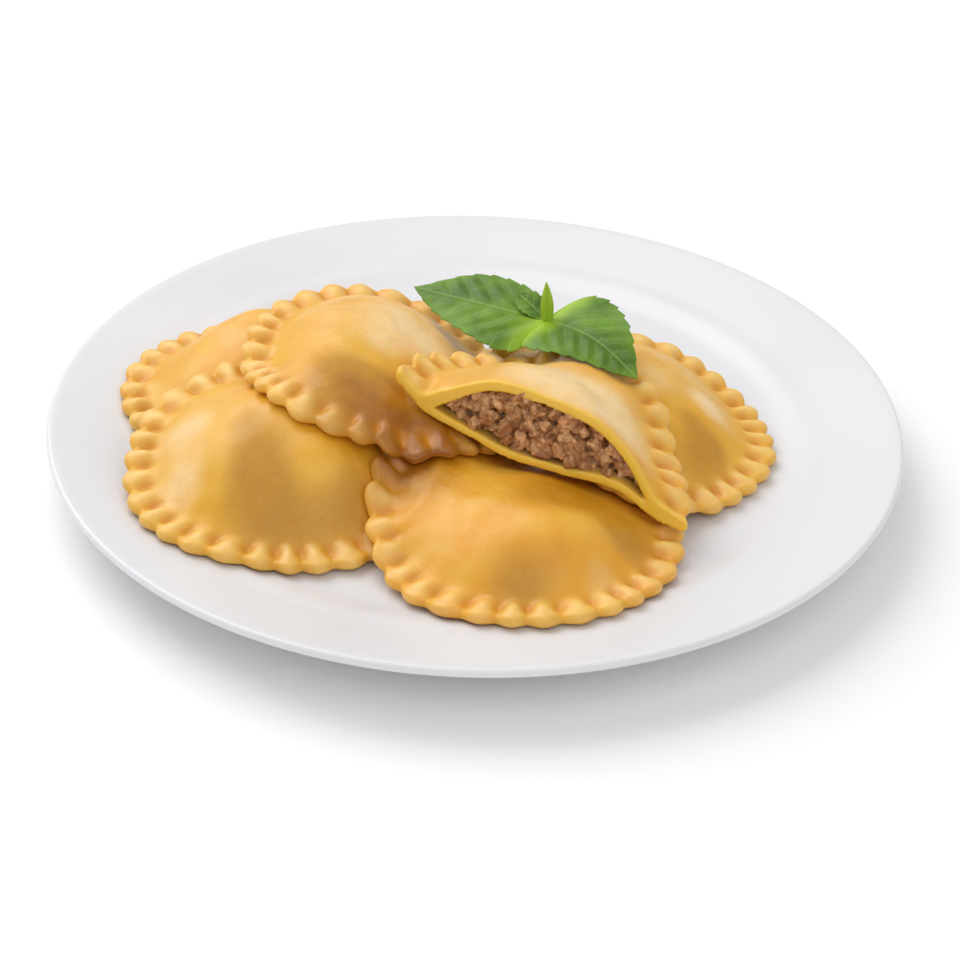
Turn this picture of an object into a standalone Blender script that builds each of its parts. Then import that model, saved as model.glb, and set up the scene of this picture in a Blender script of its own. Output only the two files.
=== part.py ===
"""Six large round ravioli on a white plate, the top one cut in half, with a basil sprig.

Metres, +Z up, the middle of the plate's foot on the floor at the origin.
The ravioli lie in a heap: each is a bottom height and a top height over the ground plan,
and its bottom follows whatever lies below it.
"""
import math

import bmesh
import bpy
import numpy as np
from mathutils import Matrix

MM = 0.001

# Plate
PLATE_RADIUS = 107.5 * MM
PLATE_HEIGHT = 16.0 * MM
LIP_RADIUS = 87.5 * MM
LIP_HEIGHT = 11.2 * MM
WELL_RADIUS = 75.0 * MM
WELL_HEIGHT = 8.5 * MM
WELL_THICKNESS = 5.0 * MM
FLANGE_THICKNESS = 4.0 * MM
RIM_ROUND = 1.3 * MM
RIM_SHOULDER = 0.8 * MM
RIM_DRAW = 0.4 * MM
RIM_EDGE = 2.2 * MM
FOOT_INNER_RADIUS = 60.0 * MM
FOOT_OUTER_RADIUS = 64.0 * MM
FOOT_FLARE_OUT = 4.0 * MM
FOOT_FLARE_IN = 2.0 * MM
WALL_STEPS = 4
PLATE_STEPS = 56
MERGE_DISTANCE = 0.01 * MM

# Ravioli, all of them
CRIMP_WIDTH = 7.2 * MM
CRIMP_THICKNESS = 2.5 * MM
RIDGE_HEIGHT = 1.0 * MM
SCALLOP_DEPTH = 1.5 * MM
SCALLOP_INSIDE = 0.6
EDGE_UNDERCUT = 0.35 * MM
DOME_POWER = 2.6
DOME_EASE = 1.2
EDGE_SLOPE = 0.55
PLATE_GAP = 0.5 * MM
CONTACT_GAP = 1.8 * MM
DRAPE_SOFTNESS = 2.0 * MM
SQUEEZE = 0.6
STEPS_PER_FLUTE = 4
DOME_RINGS = (0.28, 0.52, 0.74, 0.9)
UNDERSIDE_RINGS = (1.22, 1.0, 0.72, 0.38)

# Cut ravioli
DOUGH = 2.0 * MM
FILLING_GAP = 0.3 * MM
BRIM_DRAW = 0.8 / MM
BRIM_RISE = 2.0
CUT_LEAN = math.radians(12.0)
CUT_OFFSET = 5.0 * MM
CUTTER_SIZE = 120.0 * MM

# Basil sprig: plan positions and heights in millimetres
SPRIG_FOOT = (17.0, 9.0, 37.0)
LEAVES = (
    # tip, half width, sideways tilt, arch, sideways bend
    ((-17.0, 26.5, 35.5), 12.5, 0.25, -1.0, -7.0),
    ((39.0, -13.5, 34.0), 12.0, 0.15, 1.5, 0.0),
    ((9.0, 17.0, 40.5), 3.0, 0.3, 0.5, 0.0),
)
LEAF_THICKNESS = 0.9
LEAF_EDGE = 0.25
LEAF_SOFTNESS = 1.0
LEAF_STATIONS = 12
LEAF_ACROSS = 3
LEAF_FOLD = 0.18
LEAF_SKEW = 0.6
LEAF_FULLNESS = 0.75
BUD_HEIGHT = 11.0 * MM
BUD_RADIUS = 2.3 * MM
BUD_TIP = 0.3 * MM
BUD_SINK = 3.0 * MM
BUD_SIDES = 10


def smooth_max(first, second, softness):
    """The larger of two heights, rounded where they meet, never less than either."""
    return 0.5 * (first + second + np.sqrt((first - second) ** 2 + softness ** 2))


def ease(value):
    """0 to 1 with level ends."""
    value = np.clip(value, 0.0, 1.0)
    return value * value * (3.0 - 2.0 * value)


def plate_top(radius):
    """Height of the plate's upper face at a distance from its middle."""
    wall = ease((radius - WELL_RADIUS) / (LIP_RADIUS - WELL_RADIUS))
    flange = np.clip((radius - LIP_RADIUS) / (PLATE_RADIUS - LIP_RADIUS), 0.0, 1.0)
    return WELL_HEIGHT + (LIP_HEIGHT - WELL_HEIGHT) * wall + (PLATE_HEIGHT - LIP_HEIGHT) * flange


class Ravioli:
    """A round filled pasta: an outline with flutes, a dome, and a lie over what is below."""

    def __init__(self, name, centre, radii, turn, flutes, lie, slope, dome, peak, below, roundness=2.0,
                 dents=()):
        """Lie and slope set the plane of the underside; below holds the ravioli it lies on.

        A dent is a direction in plan, a depth (less than 0 for a bulge) and a width in degrees.
        """
        self.name = name
        self.centre = np.array(centre) * MM
        self.radii = np.array(radii) * MM
        self.turn = math.radians(turn)
        self.flutes = flutes
        self.lie = lie * MM
        self.slope = slope
        self.dome = dome * MM
        self.peak = np.array(peak) * MM
        self.below = below
        self.roundness = roundness
        self.dents = dents

    def outline(self, angle):
        """Mean radius of the edge at an angle, without the flutes."""
        power = self.roundness
        across = np.abs(np.cos(angle) / self.radii[0]) ** power
        along = np.abs(np.sin(angle) / self.radii[1]) ** power
        radius = (across + along) ** (-1.0 / power)
        for direction, depth, width in self.dents:
            off = angle + self.turn - math.radians(direction)
            off = np.arctan2(np.sin(off), np.cos(off)) / math.radians(width)
            radius = radius - depth * MM * np.exp(-off ** 2)
        return radius

    def lobe(self, angle):
        """1 on the crest of a flute, 0 in the groove between two."""
        return np.abs(np.cos(0.5 * self.flutes * angle))

    def brim(self, angle):
        """Radius to which the filling reaches."""
        return self.outline(angle) - CRIMP_WIDTH - DOUGH

    def edge(self, angle):
        """Radius of the fluted edge."""
        return self.outline(angle) + SCALLOP_DEPTH * (self.lobe(angle) - SCALLOP_INSIDE)

    def plan(self, angle, radius):
        """Ground plan position of a polar point."""
        turned = angle + self.turn
        return self.centre[0] + radius * np.cos(turned), self.centre[1] + radius * np.sin(turned)

    def polar(self, x, y):
        """Angle and radius of a ground plan position."""
        dx = x - self.centre[0]
        dy = y - self.centre[1]
        return np.arctan2(dy, dx) - self.turn, np.hypot(dx, dy)

    def dome_height(self, angle, radius, inset=0.0):
        """Height of the dome above the crimped border; inset makes the space for the filling."""
        foot = self.outline(angle) - CRIMP_WIDTH - inset
        share = np.clip(radius / foot, 0.0, 1.0)
        pull = 1.0 - share ** 2
        off_x = radius * np.cos(angle) - self.peak[0] * pull
        off_y = radius * np.sin(angle) - self.peak[1] * pull
        share = np.clip(np.hypot(off_x, off_y) / foot, 0.0, 1.0)
        return (self.dome - inset) * (1.0 - share ** DOME_POWER) ** DOME_EASE

    def thickness(self, angle, radius):
        """From underside to top, with the flutes; it falls away outside the edge."""
        outside = np.maximum(radius - self.edge(angle), 0.0)
        crimp = np.clip((radius - self.outline(angle) + CRIMP_WIDTH) / CRIMP_WIDTH, 0.0, 1.0)
        ridge = RIDGE_HEIGHT * self.lobe(angle) * crimp
        return CRIMP_THICKNESS + ridge + self.dome_height(angle, radius) - EDGE_SLOPE * outside

    def rest(self, x, y):
        """Height of whatever lies below."""
        height = plate_top(np.hypot(x, y)) + PLATE_GAP
        for piece in self.below:
            height = smooth_max(height, piece.top(x, y) + CONTACT_GAP, DRAPE_SOFTNESS)
        return height

    def level(self, x, y):
        """Height of the plane in which the ravioli would lie if nothing pushed it up."""
        return self.lie + self.slope[0] * (x - self.centre[0]) + self.slope[1] * (y - self.centre[1])

    def bottom(self, x, y):
        """Height of the underside."""
        return smooth_max(self.level(x, y), self.rest(x, y), DRAPE_SOFTNESS)

    def squeeze(self, x, y):
        """How far the soft filling gives way over a bump below, instead of lifting the dome."""
        fullness = self.dome_height(*self.polar(x, y)) / self.dome
        return SQUEEZE * fullness * (self.bottom(x, y) - self.level(x, y))

    def top(self, x, y):
        """Height of the upper side."""
        return self.bottom(x, y) + self.thickness(*self.polar(x, y)) - self.squeeze(x, y)


def lie_of_the_heap():
    """The six ravioli in millimetres and degrees, each after the ones it lies on."""
    back_left = Ravioli("ravioli_back_left", centre=(-53, 10), radii=(38, 36), turn=10, flutes=29,
                        lie=8.5, slope=(0.0, 0.0), dome=16.0, peak=(-2, 8), below=[])
    left = Ravioli("ravioli_left", centre=(-46, -31), radii=(38, 35), turn=0, flutes=30,
                   lie=14.5, slope=(-0.02, 0.21), dome=15.0, peak=(1, -2), below=[back_left],
                   roundness=2.3)
    front = Ravioli("ravioli_front", centre=(12.5, -49), radii=(37.5, 37.5), turn=4, flutes=29,
                    lie=8.5, slope=(0.0, 0.0), dome=13.5, peak=(0, -5), below=[left])
    upper = Ravioli("ravioli_upper", centre=(-21.5, -4.5), radii=(36.5, 39), turn=20, flutes=30,
                    lie=20.0, slope=(-0.26, 0.11), dome=14.5, peak=(-2, 5),
                    below=[back_left, left, front], dents=((302, 6, 24), (95, -4.5, 35)))
    right = Ravioli("ravioli_right", centre=(39.5, -5), radii=(36, 41), turn=-10, flutes=30,
                    lie=12.5, slope=(-0.19, 0.1), dome=14.0, peak=(-2, 2), below=[front, upper],
                    roundness=1.7, dents=((235, 9, 32),))
    cut = Ravioli("cut_ravioli_pasta", centre=(16.5, -33), radii=(37.5, 37), turn=-19, flutes=30,
                  lie=22.5, slope=(-0.2, 0.12), dome=17.0, peak=(0, 0), below=[front, upper, right])
    return back_left, left, front, upper, right, cut


def new_mesh_object(name, mesh, group):
    """Wrap a bmesh in an object and put it in a collection."""
    data = bpy.data.meshes.new(name)
    mesh.to_mesh(data)
    mesh.free()
    thing = bpy.data.objects.new(name, data)
    group.objects.link(thing)
    return thing


def ring_angles(count):
    """Evenly spaced angles of a ring, the first on the crest of a flute."""
    return np.arange(count) * 2.0 * math.pi / count


def add_ring(mesh, x, y, z):
    """Vertices of one ring."""
    return [mesh.verts.new(place) for place in zip(x, y, z)]


def join_rings(mesh, fine, coarse):
    """Faces between two rings, the first with a whole number of times as many points."""
    share = len(fine) // len(coarse)
    for step, start in enumerate(coarse):
        end = coarse[(step + 1) % len(coarse)]
        middle = step * share + share // 2
        for k in range(step * share, (step + 1) * share):
            corner = start if k < middle else end
            mesh.faces.new((fine[k], fine[(k + 1) % len(fine)], corner))
        mesh.faces.new((fine[middle], end, start))


def close_ring(mesh, ring, place):
    """A fan of triangles from a ring to a point."""
    tip = mesh.verts.new(place)
    for k, vertex in enumerate(ring):
        mesh.faces.new((vertex, ring[(k + 1) % len(ring)], tip))


def ravioli_body(piece, group):
    """Closed solid of a ravioli: rings of the dome, the fluted edge and the underside."""
    mesh = bmesh.new()
    fine = ring_angles(piece.flutes * STEPS_PER_FLUTE)
    middling = ring_angles(piece.flutes * 2)
    coarse = ring_angles(piece.flutes)

    def ring(angle, radius, height_of):
        x, y = piece.plan(angle, radius)
        return add_ring(mesh, x, y, height_of(x, y))

    foot = piece.outline(middling) - CRIMP_WIDTH
    rings = [ring(fine, piece.edge(fine), piece.top), ring(middling, foot, piece.top)]
    for share in reversed(DOME_RINGS):
        radius = share * (piece.outline(coarse) - CRIMP_WIDTH)
        rings.append(ring(coarse, radius, piece.top))
    for outer, inner in zip(rings, rings[1:]):
        join_rings(mesh, outer, inner)
    x, y = piece.plan(0.0, 0.0)
    close_ring(mesh, rings[-1], (x, y, piece.top(x, y)))

    under = [ring(fine, piece.edge(fine) - EDGE_UNDERCUT, piece.bottom)]
    for share in UNDERSIDE_RINGS:
        under.append(ring(coarse, share * piece.brim(coarse), piece.bottom))
    for outer, inner in zip(under, under[1:]):
        join_rings(mesh, outer, inner)
    close_ring(mesh, under[-1], (x, y, piece.bottom(x, y)))
    join_rings(mesh, rings[0], under[0])
    bmesh.ops.recalc_face_normals(mesh, faces=mesh.faces[:])
    return new_mesh_object(piece.name, mesh, group)


def filling_body(piece, name, gap, group):
    """Closed solid of the space inside the dough, a gap smaller all round."""
    mesh = bmesh.new()
    angles = ring_angles(piece.flutes)

    def place(share):
        x, y = piece.plan(angles, share * piece.brim(angles))
        return np.array((x, y, piece.bottom(x, y) + DOUGH))

    def floor_ring(share):
        x, y, z = place(share)
        return add_ring(mesh, x, y, z + gap)

    def roof_ring(share):
        x, y, z = place(share)
        height = piece.dome_height(angles, share * piece.brim(angles), DOUGH)
        return add_ring(mesh, x, y, z + height - piece.squeeze(x, y) - gap)

    brim = (1.0 - BRIM_DRAW * gap) * place(1.0) + BRIM_DRAW * gap * place(UNDERSIDE_RINGS[2])
    brim[2] += BRIM_RISE * gap
    brim = add_ring(mesh, *brim)
    floor = [brim] + [floor_ring(share) for share in UNDERSIDE_RINGS[2:]]
    roof = [brim] + [roof_ring(share) for share in reversed(DOME_RINGS)]
    x, y = piece.plan(0.0, 0.0)
    middle = piece.bottom(x, y) + DOUGH
    peak = piece.dome_height(0.0, 0.0, DOUGH) - piece.squeeze(x, y)
    for rings, rise in ((floor, gap), (roof, peak - gap)):
        for outer, inner in zip(rings, rings[1:]):
            join_rings(mesh, outer, inner)
        close_ring(mesh, rings[-1], (x, y, middle + rise))
    bmesh.ops.recalc_face_normals(mesh, faces=mesh.faces[:])
    return new_mesh_object(name, mesh, group)


def cutting_box(piece, cutters):
    """The box that takes away the near half, its face leaning back from the chord."""
    mesh = bmesh.new()
    bmesh.ops.create_cube(mesh, size=CUTTER_SIZE)
    thing = new_mesh_object("cutter_half", mesh, cutters)
    lean = Matrix.Rotation(-CUT_LEAN, 4, "X")
    turn = Matrix.Rotation(piece.turn, 4, "Z")
    x, y = piece.centre
    place = Matrix.Translation((x, y, piece.lie)) @ turn
    near = Matrix.Translation((0.0, -CUT_OFFSET, 0.0)) @ lean
    thing.matrix_world = place @ near @ Matrix.Translation((0.0, -0.5 * CUTTER_SIZE, 0.0))
    return thing


def subtract(thing, cutter):
    """Boolean difference, applied."""
    modifier = thing.modifiers.new("cut", "BOOLEAN")
    modifier.operation = "DIFFERENCE"
    modifier.solver = "EXACT"
    modifier.object = cutter


def leaf_grid(foot, leaf, heap):
    """Positions of a leaf's middle surface, station by station, draped over the heap."""
    tip, half_width, tilt, arch, bend = leaf
    foot = np.array(foot)
    tip = np.array(tip)
    along = tip[:2] - foot[:2]
    side = np.array((-along[1], along[0])) / np.hypot(*along)
    side = side if side[1] > 0.0 else -side
    grid = []
    for t in np.linspace(0.0, 1.0, LEAF_STATIONS + 1):
        swell = max(math.sin(math.pi * t ** LEAF_SKEW), 0.0) ** LEAF_FULLNESS
        row = []
        for s in np.linspace(-1.0, 1.0, 2 * LEAF_ACROSS + 1):
            reach = s * half_width * swell
            hump = math.sin(math.pi * t)
            x, y = foot[:2] + along * t + side * (reach + bend * hump)
            z = foot[2] + (tip[2] - foot[2]) * t + arch * hump + tilt * reach + LEAF_FOLD * abs(reach)
            under = max(float(piece.top(x * MM, y * MM)) for piece in heap) / MM
            z = float(smooth_max(z, under + CONTACT_GAP / MM + 0.5 * LEAF_THICKNESS, LEAF_SOFTNESS))
            row.append((x, y, z, swell * (1.0 - s * s)))
        grid.append(row)
    return grid


def leaf_body(name, leaf, heap, group):
    """A closed leaf, thickest along its midrib."""
    mesh = bmesh.new()
    grid = leaf_grid(SPRIG_FOOT, leaf, heap)
    faces = []
    for side in (1.0, -1.0):
        rows = []
        for row in grid:
            thickness = [0.5 * LEAF_THICKNESS * (LEAF_EDGE + (1.0 - LEAF_EDGE) * full) for *_, full in row]
            rows.append([mesh.verts.new((x * MM, y * MM, (z + side * half) * MM))
                         for (x, y, z, _), half in zip(row, thickness)])
        faces.append(rows)
    upper, lower = faces
    for rows in faces:
        for near, far in zip(rows, rows[1:]):
            for k in range(len(near) - 1):
                mesh.faces.new((near[k], near[k + 1], far[k + 1], far[k]))
    rim = [(i, 0) for i in range(len(grid))]
    rim += [(len(grid) - 1, k) for k in range(1, len(grid[0]))]
    rim += [(i, len(grid[0]) - 1) for i in range(len(grid) - 2, -1, -1)]
    rim += [(0, k) for k in range(len(grid[0]) - 2, 0, -1)]
    for (i, k), (m, n) in zip(rim, rim[1:] + rim[:1]):
        mesh.faces.new((upper[i][k], upper[m][n], lower[m][n], lower[i][k]))
    bmesh.ops.remove_doubles(mesh, verts=mesh.verts[:], dist=MERGE_DISTANCE)
    bmesh.ops.recalc_face_normals(mesh, faces=mesh.faces[:])
    return new_mesh_object(name, mesh, group)


def bud_body(name, group):
    """The upright heart of the sprig, a slender cone between the leaves."""
    mesh = bmesh.new()
    bmesh.ops.create_cone(mesh, cap_ends=True, segments=BUD_SIDES, radius1=BUD_RADIUS, radius2=BUD_TIP,
                          depth=BUD_HEIGHT + BUD_SINK)
    thing = new_mesh_object(name, mesh, group)
    x, y, z = (value * MM for value in SPRIG_FOOT)
    thing.location = (x, y, z + 0.5 * (BUD_HEIGHT - BUD_SINK))
    return thing


def sprig_body(heap, group, cutters):
    """The basil sprig as one solid: three leaves joined to the bud."""
    sprig = bud_body("basil_sprig", group)
    for number, leaf in enumerate(LEAVES):
        part = leaf_body("cutter_leaf_%d" % number, leaf, heap, cutters)
        modifier = sprig.modifiers.new("leaf", "BOOLEAN")
        modifier.operation = "UNION"
        modifier.solver = "EXACT"
        modifier.object = part
    return sprig


def plate_body(group):
    """The plate, turned from one profile with the Screw modifier."""
    wall = np.linspace(WELL_RADIUS, LIP_RADIUS, WALL_STEPS + 1)
    upper = [(0.0, WELL_HEIGHT)] + [(radius, float(plate_top(radius))) for radius in wall]
    upper.append((PLATE_RADIUS - RIM_ROUND, PLATE_HEIGHT))
    edge = [(PLATE_RADIUS, PLATE_HEIGHT - RIM_SHOULDER), (PLATE_RADIUS - RIM_DRAW, PLATE_HEIGHT - RIM_EDGE)]
    foot_top = WELL_HEIGHT - WELL_THICKNESS
    under = [
        (LIP_RADIUS, LIP_HEIGHT - FLANGE_THICKNESS),
        (FOOT_OUTER_RADIUS + FOOT_FLARE_OUT, foot_top),
        (FOOT_OUTER_RADIUS, 0.0),
        (FOOT_INNER_RADIUS, 0.0),
        (FOOT_INNER_RADIUS - FOOT_FLARE_IN, foot_top),
        (0.0, foot_top),
    ]
    mesh = bmesh.new()
    points = [mesh.verts.new((radius, 0.0, height)) for radius, height in upper + edge + under]
    for start, end in zip(points, points[1:]):
        mesh.edges.new((start, end))
    thing = new_mesh_object("plate", mesh, group)
    screw = thing.modifiers.new("turn", "SCREW")
    screw.steps = PLATE_STEPS
    screw.render_steps = PLATE_STEPS
    screw.use_merge_vertices = True
    screw.merge_threshold = MERGE_DISTANCE
    screw.use_normal_calculate = True
    return thing


def give_material(thing, name, colour, roughness):
    """A plain Principled material of its own."""
    material = bpy.data.materials.new(name)
    material.use_nodes = True
    shader = material.node_tree.nodes["Principled BSDF"]
    shader.inputs["Base Color"].default_value = (*colour, 1.0)
    shader.inputs["Roughness"].default_value = roughness
    thing.data.materials.append(material)


def main():
    """Build every sub-part, then set the cutters aside."""
    for thing in list(bpy.data.objects):
        bpy.data.objects.remove(thing)
    scene = bpy.context.scene
    group = bpy.data.collections.new("ravioli_on_plate")
    cutters = bpy.data.collections.new("cutters")
    scene.collection.children.link(group)
    scene.collection.children.link(cutters)

    give_material(plate_body(group), "porcelain", (0.87, 0.87, 0.88), 0.15)
    heap = lie_of_the_heap()
    for piece in heap:
        give_material(ravioli_body(piece, group), "pasta_" + piece.name, (0.8, 0.52, 0.17), 0.4)
    cut = heap[-1]
    pasta = bpy.data.objects[cut.name]
    hollow = filling_body(cut, "cutter_hollow", 0.0, cutters)
    filling = filling_body(cut, "cut_ravioli_filling", FILLING_GAP, group)
    give_material(filling, "meat", (0.22, 0.11, 0.06), 0.6)
    half = cutting_box(cut, cutters)
    subtract(pasta, hollow)
    subtract(pasta, half)
    subtract(filling, half)
    give_material(sprig_body(heap, group, cutters), "basil", (0.12, 0.28, 0.05), 0.4)
    for cutter in cutters.objects:
        cutter.hide_render = True
        cutter.display_type = "WIRE"


main()
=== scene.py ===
"""Looks of the plate of ravioli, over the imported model.

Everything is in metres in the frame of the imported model, except where millimetres are named. The
ravioli are built again here at full detail, from the same sizes as their solids with small local
differences: each is a bottom height and a top height over the ground plan, and its bottom follows
whatever lies below it. Each piece stands for its CAD node.
"""
import math

import bmesh
import bpy
import numpy as np
from mathutils import Matrix, Vector, noise

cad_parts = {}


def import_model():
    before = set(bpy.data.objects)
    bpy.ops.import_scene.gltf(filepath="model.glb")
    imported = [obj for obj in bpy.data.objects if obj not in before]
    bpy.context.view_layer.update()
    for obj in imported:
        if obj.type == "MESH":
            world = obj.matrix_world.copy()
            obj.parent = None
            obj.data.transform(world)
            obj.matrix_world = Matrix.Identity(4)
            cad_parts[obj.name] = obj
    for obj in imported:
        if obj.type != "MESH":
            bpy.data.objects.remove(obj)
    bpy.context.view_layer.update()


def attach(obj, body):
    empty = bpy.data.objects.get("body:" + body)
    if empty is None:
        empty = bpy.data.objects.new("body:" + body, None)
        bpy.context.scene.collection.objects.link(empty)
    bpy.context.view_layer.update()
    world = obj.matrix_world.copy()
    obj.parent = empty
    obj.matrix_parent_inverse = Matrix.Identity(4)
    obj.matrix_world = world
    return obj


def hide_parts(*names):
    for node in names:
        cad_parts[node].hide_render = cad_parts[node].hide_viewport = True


MM = 0.001

# Plate: a level well, a wall up to the lip, and a flange that rises to the rim
PLATE_RADIUS = 107.5 * MM
PLATE_HEIGHT = 16.0 * MM
LIP_RADIUS = 87.5 * MM
LIP_HEIGHT = 11.2 * MM
WELL_RADIUS = 75.0 * MM
WELL_HEIGHT = 8.5 * MM
WELL_THICKNESS = 5.0 * MM
FLANGE_THICKNESS = 4.0 * MM
RIM_ROUND = 1.1 * MM
RIM_INSET = 1.0 * MM
FOOT_INNER_RADIUS = 60.0 * MM
FOOT_OUTER_RADIUS = 64.0 * MM
FOOT_FLARE_OUT = 4.0 * MM
FOOT_FLARE_IN = 2.0 * MM
FOOT_ROUND = 0.6 * MM
UNDER_RADIUS = 54.0 * MM
MIDDLE_RADIUS = 6.0 * MM
PLATE_SIDES = 224
UPPER_STEPS, RIM_STEPS, FLANGE_STEPS, FLARE_STEPS, UNDER_STEPS = 60, 12, 14, (7, 5), 8
# Angles between which the rim is rounded, and shares of the length over which each flare runs
RIM_TURNS = (0.15, 0.95 * math.pi)
FOOT_OUT_SHARES = (1.6, 0.25)
FOOT_IN_SHARES = (0.25, 1.0)

# Crimped border: flutes, the pits between them, and the fillet that runs up into the dome
CRIMP_WIDTH = 7.2 * MM
CRIMP_THICKNESS = 2.4 * MM
RIDGE_HEIGHT = 1.15 * MM
RIDGE_POWER = 1.25
RIDGE_START = 0.12
RIDGE_RISE = 0.6
RIDGE_DROP = 0.4
RIDGE_DROP_FROM = 0.55
RIDGE_DROP_LENGTH = 0.45
PIT_DEPTH = 0.9 * MM
PIT_PLACE = 0.32
PIT_LENGTH = 0.5
FILLET_HEIGHT = 1.5 * MM
FILLET_OUT = 0.9
FILLET_IN = 8.0 * MM
SCALLOP_DEPTH = 1.5 * MM
SCALLOP_INSIDE = 0.6
EDGE_ROUND = 1.5 * MM
PUCKER_DEPTH = 0.3 * MM
PUCKER_REACH = 3.5 * MM
CURL_START = 0.3
# Unevenness round the border: how many waves, and how strong
FLUTE_WANDER = 0.28
WANDER_WAVES = (3.0, 7.0)
VIGOUR_WAVES = ((4.0, 0.16), (9.0, 0.12))

# Dome and its lie over what is below
DOME_POWER = 2.6
DOME_EASE = 1.3
SWELL_HEIGHT = 0.6 * MM
SWELL_SIZE = 15.0 * MM
SWELL_FADE = 2.2
CREASE_HEIGHT = 0.07 * MM
CREASE_SIZE = 2.6 * MM
CREASE_SLANT = 0.6
GRAIN_LAYERS = 2
EDGE_SLOPE = 0.55
PLATE_GAP = 0.15 * MM
CONTACT_GAP = 0.5 * MM
DRAPE_SOFTNESS = 2.0 * MM
SQUEEZE = 0.6
MAP_REACH = 115.0 * MM
MAP_STEP = 0.4 * MM
GRAIN_TABLE = 64

# Fineness of the ravioli's skin. The dome's rings have half as many points as the border's, and
# half as many again inside each of the shares of its radius in HALVINGS
POINTS_PER_FLUTE = 16
BAND_RINGS = 11
DOME_RINGS = 30
WALL_RINGS = 5
UNDER_RINGS = 9
HALVINGS = (0.55, 0.25)

# Cut ravioli
DOUGH = 2.0 * MM
CUT_LEAN = math.radians(12.0)
CUT_OFFSET = 5.0 * MM
CUTTER_SIZE = 120.0 * MM
CUT_VOXEL = 0.4 * MM
CUT_SMOOTH = 4
CUT_SMOOTH_SHARE = 0.5
CUT_DEPTH = 1.6 * MM
STAIN_HEIGHT = 3.2 * MM
STAIN_PAST_BRIM = 0.5 * DOUGH
STAIN_FROM = 0.6 * DOUGH
MARK_FADE = 0.6 * CRIMP_THICKNESS
HOLLOW_SIDES = 240
HOLLOW_RINGS = 14
LEAST_ROOM = 0.1
EDGE_DRAW = 0.05

# Filling: crumbs at the cut over a smooth core
CRUMB_SEED = 11
CRUMB_SPACING = 2.4 * MM
CRUMB_ROWS = (-6, 18)
CRUMB_SIZES = (1.25 * MM, 2.3 * MM)
CRUMB_SHAPES = (0.6, 1.25)
CRUMB_DEPTHS = (0.7, 2.0)
CRUMB_INSET = 0.4
CRUMB_MARGIN = 0.15 * MM
CORE_GAP = 0.5 * MM
CORE_RINGS = 10
CORE_BACK = 2.6 * MM
MEAT_VOXEL = 0.28 * MM
MEAT_ROUGHNESS = ((1.9 * MM, 1.1 * MM), (0.9 * MM, 0.55 * MM), (0.4 * MM, 0.15 * MM))

# Basil sprig: lengths in millimetres, the rest in shares of the leaf or the bud
SPRIG_FOOT = (17.0, 9.0, 37.0)
LEAF_THICKNESS = 0.4
LEAF_THINNING = 0.6
LEAF_REST = 0.5
LEAF_SOFTNESS = 0.8
LEAF_FULLNESS = 0.85
LEAF_TOOTH = 0.8
LEAF_TOOTHED = 6.0
LEAF_LEAST = 0.2
LEAF_STATIONS = 150
LEAF_ACROSS = 61
CURL_WAVES = (9.0, 2.0)
VEIN_SPAN = (0.02, 0.86)
VEIN_LEAN = 0.8
VEIN_SWEEP = 0.02
VEIN_ACROSS = 0.75
VEIN_WIDTH = 0.25
VEIN_FADE = 0.7
VEIN_START = 0.08
VEIN_SHARE = 0.55
RIB_WIDTHS = (0.4, 0.2)
RIB_GROOVE = 0.4
RIB_GROOVE_WIDTH = 0.7
PUCKER_LEAF = 0.55
PUCKER_WIDTHS = (1.7, 1.6)
PUCKER_ENDS = (0.12, 0.2)
BUD_HEIGHT = 11.0
BUD_RADIUS = 1.6
BUD_SINK = 2.0
BUD_LEAN = -0.6
BUD_FACING = -0.5 * math.pi
BUD_SIDES = 48
BUD_RINGS = 26
BUD_GROOVE = 0.4
BUD_GROOVE_WIDTH = 0.05
BUD_SWELL_FROM = 0.28
BUD_FULLNESS = 0.9
BUD_LEAST = 0.03
BUD_TAPER = 0.25
BUD_FLAT = 0.75
BUD_TIP = 0.4
BUD_BELOW = 0.3
BUD_VEIN = 0.35

# Camera: the photograph's view of the plate
CAMERA_ELEVATION = math.radians(33.47)
CAMERA_ROLL = math.radians(1.9)
CAMERA_DISTANCE = 600.0 * MM
CAMERA_LENS = 88.16
CAMERA_TARGET = (1.54 * MM, -5.86 * MM, -2.0 * MM)

# Studio: each light is a place, a power and a size
WORLD_STRENGTH = 0.58
KEY_LIGHT = ((-0.6, 0.6, 1.0), 11.5, 1.2)
FILL_LIGHT = ((0.3, -0.8, 1.0), 3.0, 1.0)
FLOOR_SIZE = 3.0
FLOOR_GAP = 0.2 * MM


def ease(value):
    """0 to 1 with level ends."""
    value = np.clip(value, 0.0, 1.0)
    return value * value * (3.0 - 2.0 * value)


def around_axis(count):
    """Evenly spaced angles of a full turn."""
    return np.arange(count) * 2.0 * math.pi / count


def spot(distance, size):
    """1 in the middle of a soft round spot, fading outwards over its size."""
    return np.exp(-(distance / size) ** 2)


def smooth_max(first, second, softness):
    """The larger of two heights, rounded where they meet, never less than either."""
    return 0.5 * (first + second + np.sqrt((first - second) ** 2 + softness ** 2))


def plate_top(radius):
    """Height of the plate's upper face at a distance from its middle."""
    wall = ease((radius - WELL_RADIUS) / (LIP_RADIUS - WELL_RADIUS))
    flange = np.clip((radius - LIP_RADIUS) / (PLATE_RADIUS - LIP_RADIUS), 0.0, 1.0)
    return WELL_HEIGHT + (LIP_HEIGHT - WELL_HEIGHT) * wall + (PLATE_HEIGHT - LIP_HEIGHT) * flange


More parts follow.
